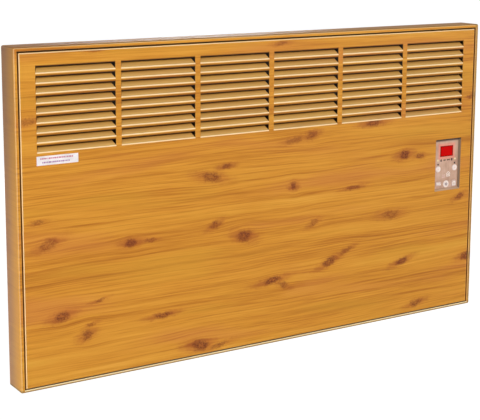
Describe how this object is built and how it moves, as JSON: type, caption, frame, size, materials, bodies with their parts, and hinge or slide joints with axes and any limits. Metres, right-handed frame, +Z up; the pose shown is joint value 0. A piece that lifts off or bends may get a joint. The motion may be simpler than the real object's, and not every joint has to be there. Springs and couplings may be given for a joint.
{
  "type": "panel convector heater",
  "caption": "Flat wall-hung electric panel convector in wood-grain coated steel, with pressed louvres on top and a recessed digital thermostat.",
  "frame": {"origin": "centre of the four wall-screw holes, on the wall plane", "axes": "+X to the right seen from the room, +Y into the wall, +Z up"},
  "size_m": [0.772, 0.06, 0.45],
  "materials": {
    "pine_grain_steel": "satin wood-grain coating on steel",
    "zinc_sheet": "galvanised, matt",
    "guide_steel": "heat-resistant black coating",
    "bracket_zinc": "zinc plated",
    "clip_steel": "spring steel",
    "screw_zinc": "zinc plated, bright",
    "sticker_film": "gloss label film",
    "rating_foil": "brushed foil",
    "pad_rubber": "matt",
    "fin_aluminium": "extruded",
    "sheath_steel": "heat tinted",
    "bead_ceramic": "unglazed",
    "pin_steel": "nickel plated",
    "bush_silicone": "matt silicone",
    "cutout_body": "pressed cap",
    "terminal_plastic": "matt",
    "terminal_brass": "machined",
    "gland_plastic": "matt",
    "sensor_resin": "epoxy",
    "clip_nylon": "matt",
    "wire_sleeve": "silicone sleeve",
    "bezel_plastic": "matt",
    "overlay_film": "silver-beige film",
    "display_red": "red lens",
    "module_black": "matt",
    "led_lens": "clear cream",
    "button_white": "satin",
    "switch_black": "matt",
    "board_green": "solder mask",
    "relay_blue": "matt",
    "coil_tape": "taped",
    "catch_plastic": "glass-filled nylon"
  },
  "bodies": {
    "heater": {"air_guide": "guide_steel", "back_panel": "zinc_sheet", "board_screws": "screw_zinc", "board_wire": "wire_sleeve", "cable_gland": "gland_plastic", "case_screws": "screw_zinc", "casing": "pine_grain_steel", "catch_rivets": "screw_zinc", "control_bezel": "bezel_plastic", "control_board": "board_green", "control_overlay": "overlay_film", "cutout_clip": "clip_steel", "display_module": "module_black", "display_window": "display_red", "earth_nut": "terminal_brass", "earth_stud": "terminal_brass", "element_hanger_left": "zinc_sheet", "element_hanger_right": "zinc_sheet", "element_sheath": "sheath_steel", "end_beads": "bead_ceramic", "front_panel": "pine_grain_steel", "hanger_bushes": "bush_silicone", "heat_shield": "zinc_sheet", "heating_fins": "fin_aluminium", "indicator_leds": "led_lens", "info_sticker": "sticker_film", "long_wire": "wire_sleeve", "panel_clips": "clip_steel", "rating_plate": "rating_foil", "rear_pads": "pad_rubber", "relay": "relay_blue", "room_sensor": "sensor_resin", "sensor_clip": "clip_nylon", "short_wire": "wire_sleeve", "tact_switches": "switch_black", "terminal_block": "terminal_plastic", "terminal_pins": "pin_steel", "terminal_screws": "terminal_brass", "thermal_cutout": "cutout_body", "transformer": "coil_tape", "wall_bracket_left": "bracket_zinc", "wall_bracket_right": "bracket_zinc", "wire_clips": "clip_nylon"},
    "minus_button": {"minus_button": "button_white"},
    "plus_button": {"plus_button": "button_white"},
    "power_button": {"power_button": "button_white"},
    "mode_button": {"mode_button": "button_white"},
    "timer_button": {"timer_button": "button_white"},
    "catch_left": {"catch_left": "catch_plastic"},
    "catch_right": {"catch_right": "catch_plastic"}
  },
  "joints": [
    {"name": "minus_press", "type": "slide", "parent": "heater", "child": "minus_button", "axis": [0, 1, 0], "range_m": [0, 0.0007], "stiffness_N_per_m": 900, "springref_m": -0.0008},
    {"name": "plus_press", "type": "slide", "parent": "heater", "child": "plus_button", "axis": [0, 1, 0], "range_m": [0, 0.0007], "stiffness_N_per_m": 900, "springref_m": -0.0008},
    {"name": "power_press", "type": "slide", "parent": "heater", "child": "power_button", "axis": [0, 1, 0], "range_m": [0, 0.0007], "stiffness_N_per_m": 900, "springref_m": -0.0008},
    {"name": "mode_press", "type": "slide", "parent": "heater", "child": "mode_button", "axis": [0, 1, 0], "range_m": [0, 0.0007], "stiffness_N_per_m": 900, "springref_m": -0.0008},
    {"name": "timer_press", "type": "slide", "parent": "heater", "child": "timer_button", "axis": [0, 1, 0], "range_m": [0, 0.0007], "stiffness_N_per_m": 900, "springref_m": -0.0008},
    {"name": "catch_left_turn", "type": "hinge", "parent": "heater", "child": "catch_left", "pos_m": [-0.18, -0.009, 0.1787], "axis": [0, 0, -1], "range_deg": [0, 90]},
    {"name": "catch_right_turn", "type": "hinge", "parent": "heater", "child": "catch_right", "pos_m": [0.18, -0.009, 0.1787], "axis": [0, 0, 1], "range_deg": [0, 90]}
  ]
}
